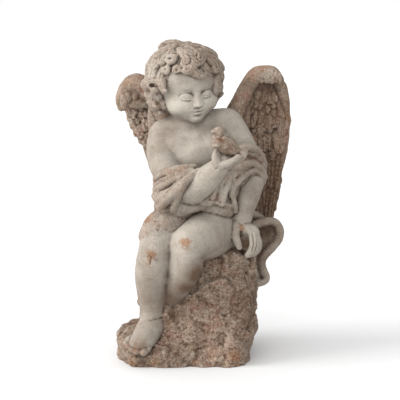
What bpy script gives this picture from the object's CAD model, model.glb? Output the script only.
"""A weathered garden statue: a winged child sits on a rock, cloth on its lap and a bird in its hand."""
import math
import random

import bmesh
import bpy
import numpy as np
from mathutils import Euler, Matrix, Vector, kdtree, noise
from mathutils.bvhtree import BVHTree


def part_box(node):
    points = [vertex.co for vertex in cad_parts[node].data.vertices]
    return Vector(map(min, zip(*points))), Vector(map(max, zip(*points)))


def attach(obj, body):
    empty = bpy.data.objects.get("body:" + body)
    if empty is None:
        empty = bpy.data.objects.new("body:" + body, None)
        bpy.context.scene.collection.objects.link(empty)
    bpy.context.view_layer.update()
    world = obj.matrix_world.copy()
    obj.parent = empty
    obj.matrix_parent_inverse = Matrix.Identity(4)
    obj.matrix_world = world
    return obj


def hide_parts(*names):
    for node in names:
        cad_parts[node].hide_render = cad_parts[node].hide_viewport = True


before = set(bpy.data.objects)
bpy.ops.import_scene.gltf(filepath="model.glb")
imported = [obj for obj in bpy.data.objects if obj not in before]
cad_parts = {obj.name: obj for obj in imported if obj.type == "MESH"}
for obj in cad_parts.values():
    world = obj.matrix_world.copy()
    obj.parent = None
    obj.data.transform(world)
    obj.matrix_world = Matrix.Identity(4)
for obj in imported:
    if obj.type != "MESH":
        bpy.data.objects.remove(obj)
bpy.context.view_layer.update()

# ---------------------------------------------------------------- the rock
# The seat is a rough block of rock with a low ledge for the forward foot. It was modelled in
# clay with the figure, by throwing on lumps and leaving them uneven, and cast in one with it.
# The clay is modelled in millimetres; MM brings it to the size of the solid.
low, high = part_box("angel_statue")
TALL = 580
MM = (high[2] - low[2]) / TALL
GRAIN = 1.3      # the finest form that the joined clay holds
SKETCH = 2.2                            # the same for the rock before it is joined on


def put(name, data):
    """An object with this mesh, light or camera, in the scene."""
    body = bpy.data.objects.new(name, data)
    bpy.context.scene.collection.objects.link(body)
    return body


def evaluated(body):
    """The object as its modifiers leave it."""
    return body.evaluated_get(bpy.context.evaluated_depsgraph_get())


def take(mesh, place=Matrix()):
    """The points and triangles of a mesh, moved into place."""
    mesh.calc_loop_triangles()
    spots = np.empty(len(mesh.vertices) * 3)
    mesh.vertices.foreach_get("co", spots)
    corners = np.empty(len(mesh.loop_triangles) * 3, np.int32)
    mesh.loop_triangles.foreach_get("vertices", corners)
    move = np.array(place)
    return spots.reshape(-1, 3) @ move[:3, :3].T + move[:3, 3], corners.reshape(-1, 3)


def take_away(shaper):
    """The points and triangles of a bmesh, which is then thrown away."""
    mesh = bpy.data.meshes.new("lump")
    shaper.to_mesh(mesh)
    shaper.free()
    lump = take(mesh)
    bpy.data.meshes.remove(mesh)
    return lump


shaper = bmesh.new()
bmesh.ops.create_icosphere(shaper, subdivisions=4, radius=1)
ROUND = take_away(shaper)


def ball(clay, centre, radii, turn=(0, 0, 0), place=Matrix()):
    """A round or egg-shaped lump of clay."""
    spin = Euler([math.radians(a) for a in turn]).to_matrix().to_4x4()
    move = np.array(place @ Matrix.Translation(centre) @ spin @ Matrix.Diagonal((*radii, 1)))
    clay.append((ROUND[0] @ move[:3, :3].T + move[:3, 3], ROUND[1]))


def block(clay, corners):
    """A rough block: the tightest skin around its corners."""
    shaper = bmesh.new()
    for corner in corners:
        shaper.verts.new(corner)
    bmesh.ops.convex_hull(shaper, input=shaper.verts)
    loose = [v for v in shaper.verts if not v.link_faces]
    bmesh.ops.delete(shaper, geom=loose, context="VERTS")
    bmesh.ops.recalc_face_normals(shaper, faces=shaper.faces)
    clay.append(take_away(shaper))


def press_together(clay, spacing, passes):
    """One even skin around all the clay, rubbed smooth a number of times."""
    spots = np.concatenate([lump[0] for lump in clay])
    starts = np.cumsum([0] + [len(lump[0]) for lump in clay[:-1]])
    corners = np.concatenate([lump[1] + start for lump, start in zip(clay, starts)])
    mesh = bpy.data.meshes.new("clay")
    mesh.vertices.add(len(spots))
    mesh.vertices.foreach_set("co", spots.ravel())
    mesh.loops.add(corners.size)
    mesh.loops.foreach_set("vertex_index", corners.ravel())
    mesh.polygons.add(len(corners))
    mesh.polygons.foreach_set("loop_start", np.arange(len(corners)) * 3)
    mesh.update(calc_edges=True)
    lump = put("clay", mesh)
    cover = lump.modifiers.new("cover", "REMESH")
    cover.mode = "VOXEL"
    cover.voxel_size = spacing
    rub = lump.modifiers.new("rub", "SMOOTH")
    rub.factor = 0.5
    rub.iterations = passes
    skin = bpy.data.meshes.new_from_object(evaluated(lump))
    bpy.data.objects.remove(lump)
    bpy.data.meshes.remove(mesh)
    return skin


clay = []
SOLE = -9       # the clay runs on below the ground, where the foot is cut off flat later
base = [(x, y, SOLE) for x, y in ((-122, -112), (36, -121), (60, -118), (77, -100), (83, -60),
                                  (88, 20), (82, 92), (-60, 104), (-112, 86), (-132, 20))]
waist = [(-108, -60, 96), (-100, 60, 96), (-44, 98, 100), (80, 92, 100), (100, 30, 112)]
waist += [(103, -24, 104), (87, -66, 100), (46, -90, 104), (-20, -88, 100), (-70, -78, 96)]
waist += [(18, -80, 152), (-30, -78, 150)]
crown = [(-84, 62, 190), (-40, 90, 196), (70, 86, 198), (94, 40, 200), (97, -18, 192)]
crown += [(84, -44, 192), (40, -50, 198), (-20, -50, 200), (-80, -46, 192)]
block(clay, base + waist + crown)
ledge = [(-128, 12, 60), (-146, -22, 58), (-157, -50, 52), (-158, -68, 42), (-142, -102, 22)]
ledge += [(-112, -122, 18), (-66, -116, 26), (-50, -70, 62), (-60, 30, 66)]
ledge += [(x, y, SOLE) for x, y in ((-123, -112), (-134, -88), (-143, -46), (-142, 6), (-60, 40), (0, -116))]
block(clay, ledge)
# lumps thrown on where the sides bulge
for x, y, z, r in ((84, -20, 92, 26), (70, -46, 178, 24), (-84, 40, 90, 34), (30, 92, 60, 30),
                   (56, -98, 30, 26), (82, -22, 66, 22)):
    ball(clay, (x, y, z), (r, r * 0.55, r * 0.8), (14, 25, 0))
rock = press_together(clay, SKETCH, 3)

# The surface is broken into facets, each with its own slant and level, under smaller lumps.
FACET, SLANT, LEVEL = 42, 23, 6
LUMP, LUMP_HEIGHT, SUNK = 26, 3, 1
ROUGH_SEED = Vector((3.1, 7.7, 1.3))
SLANT_SEED = 8
noise.seed_set(SLANT_SEED)
moves = []
for v in rock.vertices:
    here = v.co / FACET + ROUGH_SEED
    gaps, seats = noise.voronoi(here)
    near, next_near = [(here - seat).dot(noise.noise_vector(seat * 5)) * SLANT
                       + noise.noise(seat * 7) * LEVEL for seat in seats[:2]]
    share = 0.5 + 0.5 * min(1.0, (gaps[1] - gaps[0]) * 6)
    push = near * share + next_near * (1 - share)
    push += noise.fractal(v.co / LUMP - ROUGH_SEED, 0.6, 2.2, 4) * LUMP_HEIGHT - SUNK
    moves.append(v.co + v.normal * push)
for v, spot in zip(rock.vertices, moves):
    v.co = spot

# ---------------------------------------------------------------- the child's body
# A plump child, leaning to one side as it sits, with one foot forward and the other tucked
# behind it. Trunk, arms and legs are soft clay limbs, pressed together and rubbed smooth.
# Creases at the ankle, the wrist and the knees are drawn in later with a rounded tool.


def roll(clay, *stations, place=Matrix(), about=None, flat=1.0, strands=0, wind=0.0):
    """A tapered roll of clay through stations of x, y, z and radius, with round ends.

    It can be flattened towards a middle point, and scored lengthwise into strands.
    """
    knots = np.array(stations, float)
    knots = np.vstack([2 * knots[0] - knots[1], knots, 2 * knots[-1] - knots[-2]])
    t = np.linspace(0, 1, 6, endpoint=False)[:, None]
    spans = []
    for a, b, c, d in zip(knots, knots[1:], knots[2:], knots[3:]):
        spans.append(b + 0.5 * t * (c - a + t * (2 * a - 5 * b + 4 * c - d + t * (3 * (b - c) + d - a))))
    run = np.vstack(spans + [knots[-2:-1]])
    head_end = run[0, :3] - run[1, :3]
    head_end /= np.linalg.norm(head_end)
    tail_end = run[-1, :3] - run[-2, :3]
    tail_end /= np.linalg.norm(tail_end)
    bow = np.radians([84, 60, 32])
    caps = [[np.append(end[:3] + out * end[3] * math.sin(a), end[3] * math.cos(a)) for a in bow]
            for end, out in ((run[0], head_end), (run[-1], tail_end))]
    run = np.vstack([caps[0], run, caps[1][::-1]])
    path = run[:, :3]
    along = np.gradient(path, axis=0)
    along /= np.linalg.norm(along, axis=1)[:, None]
    if about is None:
        across = np.cross(along[0], (0.31, 0.17, 0.93))
        sides = []
        for step in along:
            across = across - step * (across @ step)
            across = across / np.linalg.norm(across)
            sides.append(across)
        sides = np.array(sides)
    else:
        sides = np.cross(along, path - np.array(about))
        sides /= np.linalg.norm(sides, axis=1)[:, None]
    outs = np.cross(sides, along)
    corners = 14 if not strands else strands * 5
    around = np.linspace(0, math.tau, corners, endpoint=False)
    far = run[:, 3:4] * np.ones(corners)
    if strands:
        far = far * (1 + 0.15 * np.cos(strands * (around + wind * np.linspace(0, 1, len(run))[:, None])))
    x = far * np.cos(around)
    y = far * np.sin(around) * flat
    spots = path[:, None, :] + sides[:, None, :] * x[..., None] + outs[:, None, :] * y[..., None]
    spots = np.vstack([spots.reshape(-1, 3), path[0], path[-1]])
    here = np.arange(corners)
    there = (here + 1) % corners
    faces = []
    for k in range(len(run) - 1):
        a = here + k * corners
        b = there + k * corners
        faces.append(np.stack([a, b, b + corners], 1))
        faces.append(np.stack([a, b + corners, a + corners], 1))
    final = (len(run) - 1) * corners
    faces.append(np.stack([there, here, np.full(corners, len(spots) - 2)], 1))
    faces.append(np.stack([here + final, there + final, np.full(corners, len(spots) - 1)], 1))
    move = np.array(place)
    clay.append((spots @ move[:3, :3].T + move[:3, 3], np.vstack(faces)))


clay = []
ball(clay, (14, 22, 250), (62, 50, 50))
ball(clay, (-2, 0, 312), (62, 52, 56))
ball(clay, (-10, -2, 366), (70, 50, 46))
ball(clay, (-10, 4, 398), (62, 40, 32))
for side in (-1, 1):
    ball(clay, (-9 + 32 * side, -18, 386), (34, 26, 28))
    ball(clay, (-6 + 30 * side, 34, 396), (26, 18, 34))
roll(clay, (-67, 2, 403, 31), (-18, 8, 414, 34), (46, 18, 424, 30))
roll(clay, (-19, 8, 410, 36), (-25, 0, 446, 33))
roll(clay, (-67, 2, 404, 31), (-74, -14, 378, 27), (-67, -42, 350, 26), (-42, -74, 322, 25),
     (-15, -88, 313, 25))
roll(clay, (-15, -88, 313, 25), (10, -99, 337, 24), (31, -105, 358, 18), (38, -107, 365, 16))
roll(clay, (48, 18, 423, 30), (66, 12, 396, 28), (84, 2, 362, 26), (96, -8, 334, 24))
roll(clay, (96, -8, 334, 24), (86, -24, 300, 23), (78, -34, 272, 19), (75, -39, 254, 17))
roll(clay, (34, 14, 232, 48), (18, -34, 231, 47), (-4, -78, 226, 41), (-23, -104, 221, 34))
roll(clay, (-25, -107, 216, 32), (-28, -103, 180, 30.5), (-39, -90, 148, 25), (-53, -74, 118, 18),
     (-62, -60, 92, 15))
roll(clay, (-16, 10, 234, 47), (-48, -42, 233, 41), (-72, -82, 227, 34), (-82, -98, 218, 30))
roll(clay, (-82, -100, 217, 29), (-89, -98, 172, 30.5), (-90, -90, 138, 27), (-89, -82, 106, 23),
     (-88, -78, 86, 24))
roll(clay, (-79, -68, 72, 24), (-90, -84, 68, 24), (-103, -106, 51, 23), (-113, -120, 42, 18))

# ---------------------------------------------------------------- the head
# A round child's head with full cheeks, bent forward and to the side, towards the bird. The face
# keeps to a modeller's rules for a child of two: eyes a little under half height with one eye's
# width between them, a short nose and a small mouth. The eyes are lowered and nearly closed.
HEAD_AT = Vector((-29, -9, 500))
HEAD_TURN = Euler((math.radians(12), math.radians(-7), math.radians(21)))
BROW, EYES, NOSE_TIP, NOSE_BASE, MOUTH, CHIN = 4, -8, -23.5, -28, -38, -53
EYE_OUT, EYE_WIDE = 19.5, 20
head = Matrix.Translation(HEAD_AT) @ HEAD_TURN.to_matrix().to_4x4()

ball(clay, (0, 4, 8), (58, 64, 58), place=head)
ball(clay, (0, -20, 16), (51, 40, 42), place=head)
ball(clay, (0, -19, -20), (49, 42, 43), place=head)
ball(clay, (0, -26, -38), (37, 29, 25), place=head)
ball(clay, (0, -46, -52), (15, 12, 11), place=head)
for side in (-1, 1):
    ball(clay, (25 * side, -33, -27), (23, 21, 21), place=head)
FLESH_GRAIN = 2.6
flesh = press_together(clay, FLESH_GRAIN, 20)


def swell(x, z, x_at, z_at, wide, high):
    """A soft round rise of height 1 at a place across and up."""
    return np.exp(-((x - x_at) / wide) ** 2 - ((z - z_at) / high) ** 2)


def face_form(x, z):
    """How far the features stand forward of the bare head, at each place across and up."""
    side = np.abs(x)
    form = 1.3 * swell(side, z, 19, BROW + 3, 15, 5)
    form -= 3.0 * swell(side, z, 11.5, EYES + 3, 5.5, 6)
    form -= 2.4 * swell(side, z, 21, EYES + 2, 12, 7)
    form -= 1.0 * swell(side, z, 18, EYES - 9, 12, 3.5)

    across = (side - EYE_OUT) / (EYE_WIDE / 2)
    within = np.clip(1.25 - across ** 2, 0, 1)
    form += 3.2 * np.sqrt(np.clip(1 - across ** 2 * 0.8 - ((z - EYES) / 7) ** 2, 0, 1))
    lash = EYES - 2.8 + 2.2 * across ** 2
    form += 0.7 * within / (1 + np.exp(-(z - lash) / 0.5)) * np.exp(-((z - EYES) / 7) ** 2)
    form -= 1.5 * within * np.exp(-((z - lash) / 1.1) ** 2)
    form -= 1.1 * within * np.exp(-((z - EYES - 5.4 + 2.6 * across ** 2) / 1.3) ** 2)
    form -= 0.6 * within * np.exp(-((z - EYES + 7 - 2 * across ** 2) / 1.6) ** 2)

    fall = np.clip((BROW - 2 - z) / (BROW - 2 - NOSE_TIP), 0, 1)
    under = np.sqrt(np.clip(1 - (np.clip(NOSE_TIP - z, 0, 9) / 5.6) ** 2, 0, 1))
    bridge = np.exp(-(np.clip(z - BROW, 0, 99) / 9) ** 2)
    form += (1.2 * bridge + 6.6 * fall ** 1.4) * under * np.exp(-(x / (5.2 + 1.2 * fall)) ** 2)
    form += 1.6 * swell(x, z, 0, NOSE_TIP, 5, 3.6)
    form += 3.4 * swell(side, z, 7, NOSE_BASE + 3.8, 3, 2.9)
    form -= 0.9 * swell(side, z, 11.4, NOSE_BASE + 4, 1.8, 3.4)
    form -= 1.8 * swell(side, z, 3.6, NOSE_BASE - 0.6, 1.9, 1.1)

    form += 2.0 * swell(x, z, 0, MOUTH, 14, 9)
    form -= 0.8 * swell(x, z, 0, (NOSE_BASE + MOUTH) / 2 + 1, 1.8, 3)
    shut = MOUTH + 0.7 * np.cos(x / 2.4) * np.exp(-(x / 6) ** 2) + 0.007 * x * x
    form += 1.7 * swell(side, z, 3, 0, 5.5, 1e9) * np.exp(-((z - shut - 2.2) / 1.7) ** 2)
    form += 2.5 * swell(x, z, 0, MOUTH - 3.3, 6.6, 2.4)
    form -= 1.9 * np.exp(-(x / 9.5) ** 6) * np.exp(-((z - shut) / 0.95) ** 2)
    form -= 1.1 * swell(side, z, 11.4, MOUTH + 0.7, 2.4, 2.6)
    form -= 1.3 * swell(x, z, 0, MOUTH - 8, 8, 2.8)
    form += 2.2 * swell(x, z, 0, CHIN + 1, 9, 5.5)
    return form


tool_marks = []     # what is raised or pressed in on the joined clay: path, width, height, facing


def mark(path, width, height, facing=None, place=Matrix()):
    """A ridge raised along a path, or a groove where the height is below 0."""
    way = None if facing is None else (place.to_3x3() @ Vector(facing)).normalized()
    tool_marks.append(([place @ Vector(p) for p in path], width, height, way))


# ---------------------------------------------------------------- the hair
# Short thick hair, carved as broad wavy locks that fall from the crown over one another and hook
# at their ends over the brow, the ears and the neck. Snail curls stand out between them, and the
# one in front of the ear has a drilled hole.
CAP_AT = Vector((0, 5, 9))
CAP = Vector((60, 66, 61))
dice = random.Random(23)


def on_cap(turn, rise, lift=0.0):
    """A point on the hair cap: turn 0 is the brow, rise 90 is the top."""
    a = math.radians(turn)
    b = math.radians(rise)
    out = Vector((math.sin(a) * math.cos(b), -math.cos(a) * math.cos(b), math.sin(b)))
    return CAP_AT + Vector((out.x * (CAP.x + lift), out.y * (CAP.y + lift), out.z * (CAP.z + lift)))


def settle(spot, lift):
    """The spot moved straight out or in, to this height over the hair cap."""
    out = spot - CAP_AT
    out = Vector((out.x / CAP.x, out.y / CAP.y, out.z / CAP.z)).normalized()
    return CAP_AT + Vector((out.x * (CAP.x + lift), out.y * (CAP.y + lift), out.z * (CAP.z + lift)))


def lock(clay, start, heading, length, sway, hook, wide, lift):
    """A broad lock that sways as it falls along its heading, then hooks round at the end."""
    spot = settle(start, 0)
    out = (spot - CAP_AT).normalized()
    down = Vector((0, 0, -1))
    way = Matrix.Rotation(heading, 3, out) @ (down - out * out.dot(down)).normalized()
    steps = 16
    stations = []
    scores = [[], []]       # the two grooves along its back
    for k in range(steps):
        s = k / (steps - 1)
        full = wide * (0.6 + 0.45 * math.sin(math.pi * min(1.0, 0.12 + 0.72 * s))) * (1 - 0.5 * s ** 4)
        middle = settle(spot, lift * (0.2 + 1.1 * s) - 1)
        stations.append((*middle, full))
        beside = out.cross(way).normalized()
        for score, off in zip(scores, (-0.42, 0.38)):
            score.append(middle + beside * full * off + out * full * 0.8 * math.sqrt(1 - off * off))
        out = (spot - CAP_AT).normalized()
        turn = sway * math.cos(4.2 * s) + hook * 3.4 * s ** 3
        way = Matrix.Rotation(turn * 2.2 / steps, 3, out) @ way
        way = (way - out * out.dot(way)).normalized()
        spot = spot + way * (length / steps) * (1.25 - 0.6 * s)
    roll(clay, *stations, place=head, about=CAP_AT, flat=0.8)
    for score in scores:
        mark(score[1:-1], dice.uniform(1.0, 1.5), -dice.uniform(0.6, 1.2), None, head)


def ringlet(clay, centre, size, start, hand, look=None):
    """A snail curl standing off the head, wound in towards a small open middle."""
    out = (look or centre - CAP_AT).normalized()
    side = out.cross(Vector((0, 0, 1))).normalized()
    up = side.cross(out)
    stations = []
    for k in range(18):
        s = k / 17
        a = start + hand * s * 1.7 * math.tau
        reach = size * (1.1 - 0.65 * s) * (1 + 0.12 * math.sin(3 * a + start))
        spot = centre + side * (math.cos(a) * reach) + up * (math.sin(a) * reach * 0.85) + out * (3 * s - 1)
        stations.append((*spot, size * 0.33 * (1.1 - 0.45 * s)))
    roll(clay, *stations, place=head, about=centre - out * 40, strands=3, wind=hand * 2)
    ball(clay, centre - out * size * 0.9, (size * 0.9,) * 3, place=head)


hair = []
ball(hair, CAP_AT + Vector((0, 7, 2)), CAP - Vector((0, 4, 0)), place=head)
ball(hair, (-54, 12, -22), (16, 24, 28), place=head)
# rows of locks from the crown down: rise, number and length. The front rows stop at the hairline,
# and two rows lie close to the head over the right temple, to leave room for the curls there.
ROWS = ((78, 4, 46), (60, 8, 50), (43, 9, 50), (26, 11, 50), (9, 11, 48), (-9, 11, 46), (-26, 10, 42),
        (-42, 9, 38), (-54, 7, 30))
for rise, count, reach in ROWS:
    for k in range(count):
        turn = 360 * (k + 0.5 * (rise % 2)) / count + dice.uniform(-9, 9)
        bend = dice.choice((-1, 1))
        heading = dice.uniform(-0.5, 0.5) - 0.45 * bend
        sway = bend * dice.uniform(0.8, 1.7)
        hook = bend * dice.uniform(1.5, 2.8)
        wide = dice.uniform(8, 11.5)
        lift = dice.uniform(-1, 10)
        from_brow = (turn + 180) % 360 - 180
        if rise in (43, 60) and -78 < from_brow < -22:
            lift = -4
        if rise < 42 and -60 + rise * 0.2 < from_brow < 46 - rise * 0.2:
            continue
        lock(hair, on_cap(turn, rise + dice.uniform(-5, 5)), heading, reach * dice.uniform(0.85, 1.1),
             sway, hook, wide, lift)
# turn, rise, heading, length, sway, hook, width: first the locks that frame the brow, then
# thicker curls that stand out behind the ear and hang in the neck
BROW_LOCKS = ((-70, 64, 0.6, 40, -0.9, -2.6, 9.5), (-36, 70, 0.4, 42, 0.8, 2.6, 10.5),
              (-20, 64, -0.2, 44, 1.2, -2.8, 10.5), (0, 60, 0.4, 36, -1.0, 2.6, 9.5),
              (18, 66, -0.5, 36, 1.0, -2.2, 10.5), (34, 56, -0.7, 36, -1.0, 2.4, 10),
              (48, 44, -0.5, 40, 1.0, -2.0, 10), (58, 28, -0.3, 44, 0.9, 2.2, 10),
              (64, 4, 0.1, 38, -1.0, 2.8, 8), (64, -16, 0.2, 34, 1.0, 2.8, 7.5),
              (-68, 20, 0.2, 30, 1.2, -3.0, 6.5), (-74, 12, 0.0, 30, -1.2, 2.8, 6.5),
              (-72, 4, 0.0, 40, -0.9, 2.4, 10), (-78, -18, 0.0, 36, 0.9, -2.6, 9.5))
NECK_LOCKS = ((-84, 10, 0.3, 36, 0.9, 2.6, 9.5), (-86, -14, 0.4, 34, -0.8, 2.6, 9),
              (-104, -20, 0.1, 34, 0.9, -2.6, 9), (-90, -30, -0.2, 30, 0.8, 2.8, 9),
              (-112, -30, 0.0, 30, 0.8, 2.6, 9))
for locks, lift in ((BROW_LOCKS, 7), (NECK_LOCKS, 15)):
    for turn, rise, heading, reach, sway, hook, wide in locks:
        lock(hair, on_cap(turn, rise), heading, reach, sway, hook, wide, lift)
# turn, rise, lift, size, first angle, hand
for turn, rise, lift, size, start, hand in (
        (-50, 44, 8, 10, 0.6, 1), (-35, 29, 7, 7.5, 3.4, -1), (-56, 27, 6, 8, 2.0, 1),
        (-72, -14, 5, 7.5, 4.0, 1), (-104, -38, 18, 9, 2.9, 1), (-88, -46, 14, 8, 1.2, 1),
        (-101, -22, 15, 8.5, 0.4, -1), (24, 44, 4, 7.5, 3.0, -1), (74, -40, 13, 8, 1.0, 1),
        (78, -6, 5, 8, 2.2, -1)):
    ringlet(hair, on_cap(turn, rise, lift), size, start, hand)
EAR_LOOK = Vector((-0.35, -0.9, 0.25))
ringlet(hair, Vector((-70, -19, 11)), 10, 0.5, 1, EAR_LOOK)
mark([(-71, -26, 12), (-70, -14, 10)], 3.6, -5, EAR_LOOK, head)
ball(hair, (-70, 3, 6), (14, 14, 13), place=head)
lock(hair, on_cap(76, 0, 4), 0.2, 34, -0.8, -3.0, 9, 9)
lock(hair, on_cap(82, -14, 4), -0.5, 26, 0.8, -2.4, 8, 14)

# ---------------------------------------------------------------- hands and feet
# The raised hand cups the bird with the palm up; the other hangs over the edge of the rock with
# its fingers curled down and in to the thumb. Fingers and toes are short, soft rolls.


def leaf(clay, start, end, width, thickness, facing=(0, -1, 0), place=Matrix()):
    """A flattened lump stretched from start to end, flat side to the facing."""
    start = Vector(start)
    end = Vector(end)
    along = (end - start).normalized()
    across = along.cross(Vector(facing)).normalized()
    axes = Matrix((across, across.cross(along), along)).transposed().to_4x4()
    size = Matrix.Diagonal((width / 2, thickness / 2, (end - start).length / 2, 1))
    move = np.array(place @ Matrix.Translation((start + end) / 2) @ axes @ size)
    clay.append((ROUND[0] @ move[:3, :3].T + move[:3, 3], ROUND[1]))


clay = []
ball(clay, (42, -106, 365), (23, 16, 10), (0, -14, 0))
roll(clay, (32, -117, 362, 8), (46, -121, 366, 7.4), (57, -119, 371, 6.6), (65, -116, 378, 5))
roll(clay, (44, -110, 364, 8), (60, -112, 369, 7), (71, -109, 375, 6), (77, -105, 382, 4.8))
roll(clay, (46, -100, 365, 7.4), (61, -101, 371, 6.4), (72, -98, 378, 5.6), (78, -95, 385, 4.6))
roll(clay, (44, -91, 367, 6.6), (58, -91, 373, 5.8), (68, -89, 380, 5), (73, -87, 386, 4.2))
roll(clay, (35, -112, 360, 10), (28, -116, 367, 9), (25, -118, 376, 7.6), (25, -117, 384, 6))
ball(clay, (70, -102, 384), (9, 9, 6))
ball(clay, (76, -42, 240), (18, 15, 14))
ball(clay, (88, -46, 234), (18, 15, 14), (0, 20, 0))
ball(clay, (84, -42, 216), (18, 14, 18))
roll(clay, (64, -46, 246, 9.5), (61, -56, 234, 8.4), (64, -66, 221, 7.4), (68, -72, 210, 6))
roll(clay, (81, -50, 238, 8), (90, -62, 229, 6.8), (92, -73, 216, 6.2), (88, -79, 204, 5.8),
     (82, -80, 196, 5.2))
roll(clay, (88, -48, 238, 8), (95, -60, 228, 7), (97, -69, 215, 6.6), (93, -75, 203, 6),
     (88, -77, 197, 5.2))
roll(clay, (95, -43, 234, 8), (101, -54, 223, 6.8), (102, -62, 211, 6.4), (98, -69, 201, 5.8),
     (93, -71, 196, 5))
roll(clay, (98, -36, 227, 7.5), (104, -46, 215, 6.4), (104, -53, 205, 5.8), (99, -61, 198, 5.2))
for x, y, z, r, back in ((-102, -130, 33, 9.6, 26), (-114, -133, 34, 7.4, 22), (-122, -129, 37, 6.8, 21),
                         (-129, -123, 41, 6.2, 20), (-134, -114, 46, 5.6, 18)):
    leaf(clay, (x + 9, y + back, z + 9), (x - 2, y - 4, z - 3), r * 2, r * 1.7, (0, 0, 1))
    ball(clay, (x - 1, y - 2, z - 1), (r * 0.9, r, r * 0.78))
FINE_GRAIN = 1.4
fingers_and_toes = press_together(clay, FINE_GRAIN, 3)
# toenails
for x, y, z, r in ((-103, -137, 38, 6), (-115, -138, 38, 4.6), (-123, -134, 41, 4.2), (-130, -128, 45, 3.8)):
    mark([(x - r * 0.4, y + 1, z), (x + r * 0.4, y, z)], r * 0.6, -0.7, (0, -1, 0.8))
# the hollow of the hanging hand and the cuts between its fingers
mark([(78, -64, 228), (80, -64, 208)], 5, -7, (0, -1, 0))
mark([(72, -54, 236), (73, -62, 226)], 2.4, -2.4, (0, -1, 0))
mark([(92, -68, 234), (95, -79.5, 217), (91, -86, 202)], 2.2, -3.2)
mark([(99, -62, 231), (101, -74, 215), (97, -81, 201)], 2.2, -3.2)
mark([(105, -54, 222), (106, -62, 208), (102, -70, 197)], 2.2, -2.8)
# the raised hand
mark([(29, -120, 386), (31, -120, 379)], 2.6, -3, (0, -1, 0))
mark([(56, -124, 365), (70, -118, 370), (74, -114, 376)], 1.7, -1.6)
# creases at the ankle and the wrists
mark([(-116, -90, 90), (-112, -104, 85), (-96, -106, 83), (-76, -100, 85), (-66, -88, 87)], 2.2, -1.6)
mark([(-112, -80, 70), (-104, -98, 78), (-90, -104, 80)], 3, -0.8)
mark([(60, -54, 252), (74, -57, 250), (90, -50, 252)], 2.4, -1.4)
mark([(22, -122, 356), (34, -124, 362), (44, -120, 366)], 2.2, -1.0)
# the knees, chipped and dented
mark([(-44, -138, 216), (-32, -142, 212), (-18, -138, 213)], 6, -1.4)
mark([(-50, -134, 238), (-32, -142, 243), (-14, -136, 238)], 7, 1.0)
mark([(-36, -138, 240), (-24, -139, 240), (-16, -135, 233)], 1.7, -1.6)
mark([(-40, -139, 226), (-28, -140, 219)], 1.5, -1.0)
mark([(-92, -130, 216), (-89, -129, 202), (-90, -128, 190)], 1.6, -1.5)
mark([(-98, -127, 210), (-86, -129, 200), (-78, -127, 196)], 1.4, -1.2)
mark([(-106, -126, 198), (-92, -130, 194), (-76, -124, 198)], 6, -1.2)
mark([(-12, -134, 196), (6, -118, 200), (18, -100, 206)], 4, -1.2)

# ---------------------------------------------------------------- the bird
# A small dove-like bird sits upright in the palm, its breast to the left and its tail along the
# fingers. The cast has lost its sharpness: only head, breast, folded wings and tail still show.
clay = []
ball(clay, (31, -109, 421), (9.5, 9.5, 9.5))
roll(clay, (25, -111, 423, 4.2), (20, -113, 421, 3), (17, -114, 419, 1.8))
ball(clay, (30, -110, 403), (13, 13, 16), (0, 10, 0))
ball(clay, (39, -107, 396), (17, 14, 15), (0, 40, 0))
ball(clay, (50, -104, 388), (16, 13, 9), (0, 20, 0))
leaf(clay, (33, -119, 414), (66, -110, 385), 17, 8)
leaf(clay, (38, -96, 412), (68, -96, 386), 17, 8)
leaf(clay, (48, -105, 394), (84, -100, 381), 15, 7, (0, 0, 1))
# the ruffled breast, in three rows of three tufts
for row in range(3):
    for k in range(3):
        ball(clay, (22 + 3.4 * k + dice.uniform(-1, 1), -120 - k, 412 - 7 * row), (3.6, 2.4, 3.6))
bird = press_together(clay, FINE_GRAIN, 3)
# long feathers of the wing, the eye and the edge of the breast
for k in range(4):
    mark([(38 + 3 * k, -124, 411 - 6 * k), (52 + 3 * k, -120, 402 - 6 * k),
         (64 + 2 * k, -114, 390 - 3 * k)], 1.4, -1.2)
mark([(26, -118, 424), (28, -119, 424)], 1.4, -1.4)
mark([(20, -114, 413), (28, -120, 412), (38, -118, 414)], 2.2, -1.6)

# ---------------------------------------------------------------- the wings
# Each wing is a cupped plate with a thick rolled leading edge. Short scale-like coverts lie
# loosely in the hollow, a few broad ones overlap down the outer edge, and long flight feathers
# hang below them. The backs are simpler, with three or four rows of broad feathers.


def sheet(clay, rows, thickness):
    """A curved plate through rows of points, all rows equally long."""
    grid = bmesh.new()
    net = [[grid.verts.new(p) for p in row] for row in rows]
    for upper, lower in zip(net, net[1:]):
        for k in range(len(upper) - 1):
            grid.faces.new((upper[k], upper[k + 1], lower[k + 1], lower[k]))
    mesh = bpy.data.meshes.new("sheet")
    grid.to_mesh(mesh)
    grid.free()
    plate = put("sheet", mesh)
    ease = plate.modifiers.new("ease", "SUBSURF")
    ease.levels = 3
    ease.render_levels = 3
    thicken = plate.modifiers.new("thicken", "SOLIDIFY")
    thicken.thickness = thickness
    thicken.offset = 0
    shape = evaluated(plate)
    clay.append(take(shape.to_mesh()))
    shape.to_mesh_clear()
    bpy.data.objects.remove(plate)
    bpy.data.meshes.remove(mesh)


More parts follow.
